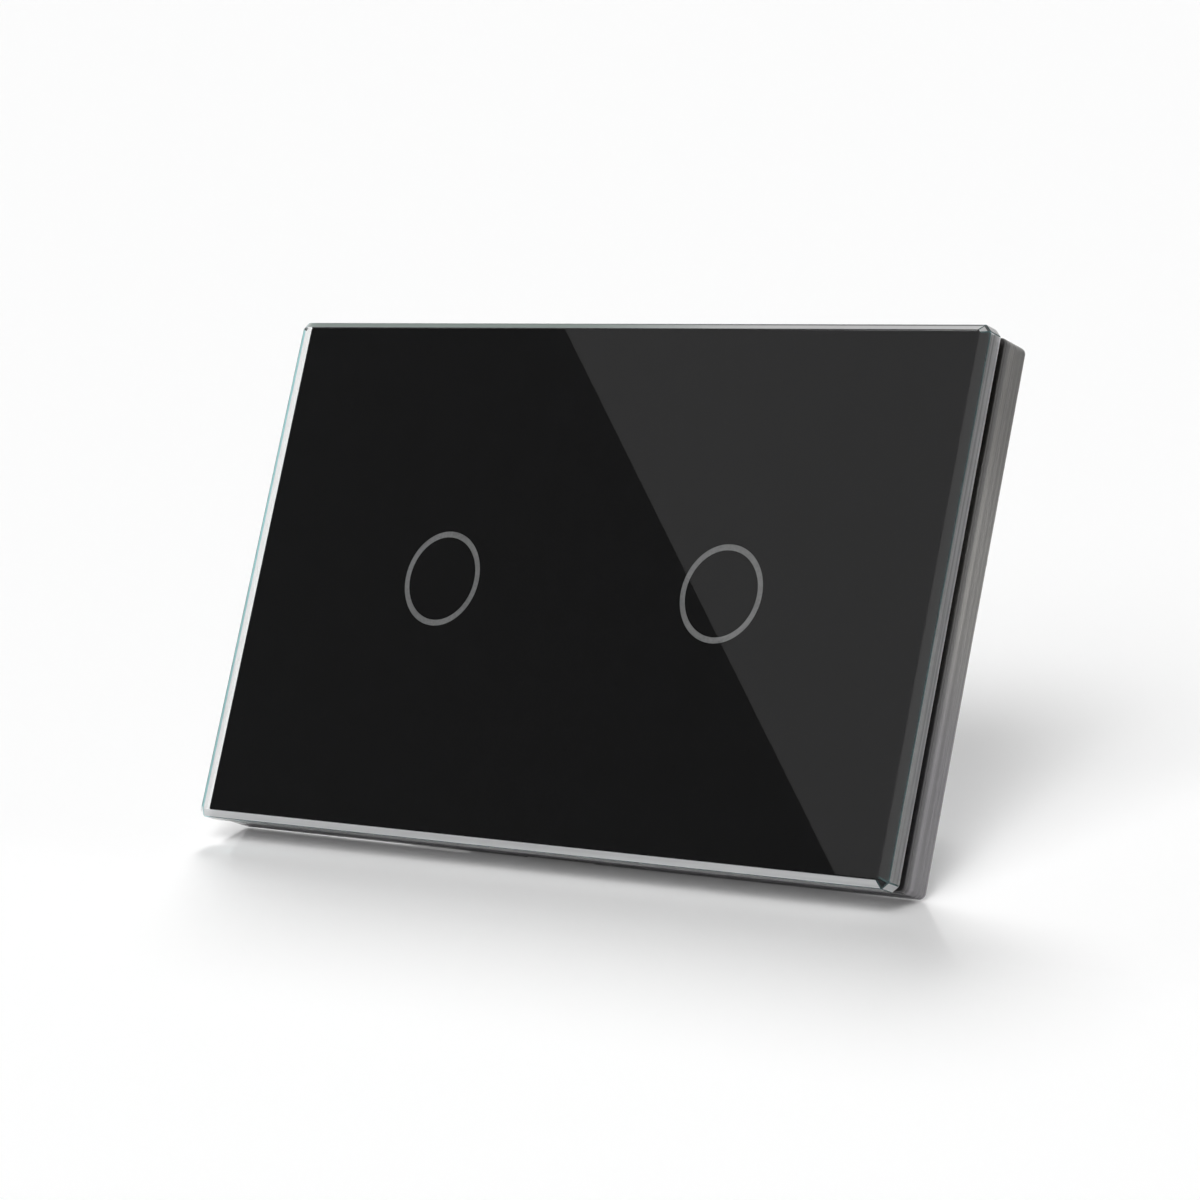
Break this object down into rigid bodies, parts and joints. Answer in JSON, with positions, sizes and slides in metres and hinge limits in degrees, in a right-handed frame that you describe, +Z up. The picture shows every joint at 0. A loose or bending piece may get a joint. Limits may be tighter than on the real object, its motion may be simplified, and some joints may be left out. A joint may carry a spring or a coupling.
{
  "type": "touch light switch",
  "caption": "Two gang touch light switch for a wall box: bevelled black glass front with ring keys on a snap-off frame, steel strap and relay module with screw terminals.",
  "frame": {"origin": "midway between the two fixing slots, on the wall plane at the back of the strap and frame", "axes": "+X to the right as seen from the room, +Y into the wall, +Z up; the glass faces -Y"},
  "size_m": [0.118, 0.0332, 0.072],
  "materials": {
    "glass": "polished, ground edges",
    "black_print": "black ink seen through glass",
    "ring_ink": "translucent grey ink",
    "foam": "closed cell foam",
    "frame_plastic": "satin moulded",
    "strap_steel": "zinc plated",
    "housing_plastic": "fine spark texture",
    "cover_plastic": "fine spark texture",
    "screw_steel": "nickel plated",
    "touch_laminate": "solder mask over glass laminate",
    "power_laminate": "solder mask over glass laminate",
    "lamp": "clear resin over white",
    "chip_epoxy": "moulded epoxy",
    "header_plastic": "moulded",
    "pin_metal": "gold flashed",
    "light_guide": "clear acrylic",
    "electrode_foam": "conductive foam",
    "terminal_plastic": "moulded",
    "bar_metal": "tinned",
    "cage_metal": "zinc plated",
    "clamp_screw_steel": "zinc plated",
    "relay_case": "moulded",
    "relay_base": "moulded",
    "soft_iron": "nickel plated",
    "bobbin_plastic": "moulded",
    "copper_wire": "enamelled copper",
    "blade_bronze": "rolled bronze with silver contact",
    "contact_silver": "bronze with silver contact",
    "film_case": "moulded box",
    "can_aluminium": "sleeved can",
    "fuse_case": "moulded",
    "varistor_coating": "dipped epoxy",
    "ferrite": "sintered ferrite",
    "coil_tape": "polyester tape",
    "choke_sleeve": "shrunk sleeve"
  },
  "bodies": {
    "module": {"mounting_strap": "strap_steel", "rear_housing": "housing_plastic", "touch_cover": "cover_plastic", "cover_screws": "screw_steel", "touch_board": "touch_laminate", "touch_lamps": "lamp", "touch_controller": "chip_epoxy", "header_base": "header_plastic", "header_pins": "pin_metal", "header_socket": "header_plastic", "light_ring_left": "light_guide", "light_ring_right": "light_guide", "touch_electrode_left": "electrode_foam", "touch_electrode_right": "electrode_foam", "power_board": "power_laminate", "board_screws": "screw_steel", "terminal_block": "terminal_plastic", "contact_bars": "bar_metal", "film_capacitor": "film_case", "smoothing_capacitor": "can_aluminium", "fuse": "fuse_case", "varistor": "varistor_coating", "rectifier": "chip_epoxy", "transformer_core": "ferrite", "transformer_coil": "coil_tape", "choke": "choke_sleeve", "relay_case_left": "relay_case", "relay_base_left": "relay_base", "relay_yoke_left": "soft_iron", "relay_core_left": "soft_iron", "relay_bobbin_left": "bobbin_plastic", "relay_winding_left": "copper_wire", "relay_contact_left": "contact_silver", "relay_case_right": "relay_case", "relay_base_right": "relay_base", "relay_yoke_right": "soft_iron", "relay_core_right": "soft_iron", "relay_bobbin_right": "bobbin_plastic", "relay_winding_right": "copper_wire", "relay_contact_right": "contact_silver"},
    "fascia": {"glass_panel": "glass", "back_print": "black_print", "ring_window_left": "ring_ink", "ring_window_right": "ring_ink", "foam_tape": "foam", "panel_frame": "frame_plastic"},
    "clamp_screw_1": {"clamp_screw_1": "clamp_screw_steel"},
    "clamp_cage_1": {"clamp_cage_1": "cage_metal"},
    "clamp_screw_2": {"clamp_screw_2": "clamp_screw_steel"},
    "clamp_cage_2": {"clamp_cage_2": "cage_metal"},
    "clamp_screw_3": {"clamp_screw_3": "clamp_screw_steel"},
    "clamp_cage_3": {"clamp_cage_3": "cage_metal"},
    "relay_armature_left": {"relay_armature_left": "soft_iron", "relay_blade_left": "blade_bronze"},
    "relay_armature_right": {"relay_armature_right": "soft_iron", "relay_blade_right": "blade_bronze"}
  },
  "joints": [
    {"name": "fascia_pull", "type": "slide", "parent": "module", "child": "fascia", "axis": [0, -1, 0], "range_m": [0, 0.02]},
    {"name": "clamp_rise_1", "type": "slide", "parent": "module", "child": "clamp_cage_1", "axis": [0, 1, 0], "range_m": [0, 0.0024]},
    {"name": "clamp_turn_1", "type": "hinge", "parent": "module", "child": "clamp_screw_1", "pos_m": [-0.0095, 0.01935, -0.01615], "axis": [0, -1, 0], "range_deg": [0, 1445]},
    {"name": "clamp_rise_2", "type": "slide", "parent": "module", "child": "clamp_cage_2", "axis": [0, 1, 0], "range_m": [0, 0.0024]},
    {"name": "clamp_turn_2", "type": "hinge", "parent": "module", "child": "clamp_screw_2", "pos_m": [0, 0.01935, -0.01615], "axis": [0, -1, 0], "range_deg": [0, 1445]},
    {"name": "clamp_rise_3", "type": "slide", "parent": "module", "child": "clamp_cage_3", "axis": [0, 1, 0], "range_m": [0, 0.0024]},
    {"name": "clamp_turn_3", "type": "hinge", "parent": "module", "child": "clamp_screw_3", "pos_m": [0.0095, 0.01935, -0.01615], "axis": [0, -1, 0], "range_deg": [0, 1445]},
    {"name": "relay_left", "type": "hinge", "parent": "module", "child": "relay_armature_left", "pos_m": [-0.0034, 0.0152, 0.01152], "axis": [0, 0, 1], "range_deg": [0, 2.1], "stiffness_Nm_per_rad": 0.003, "springref_deg": -5},
    {"name": "relay_right", "type": "hinge", "parent": "module", "child": "relay_armature_right", "pos_m": [0.0034, 0.0152, 0.01152], "axis": [0, 0, -1], "range_deg": [0, 2.1], "stiffness_Nm_per_rad": 0.003, "springref_deg": -5}
  ],
  "couplings": [
    {"joint": "clamp_turn_1", "follows": "clamp_rise_1", "rad_per_m": 10472},
    {"joint": "clamp_turn_2", "follows": "clamp_rise_2", "rad_per_m": 10472},
    {"joint": "clamp_turn_3", "follows": "clamp_rise_3", "rad_per_m": 10472}
  ]
}
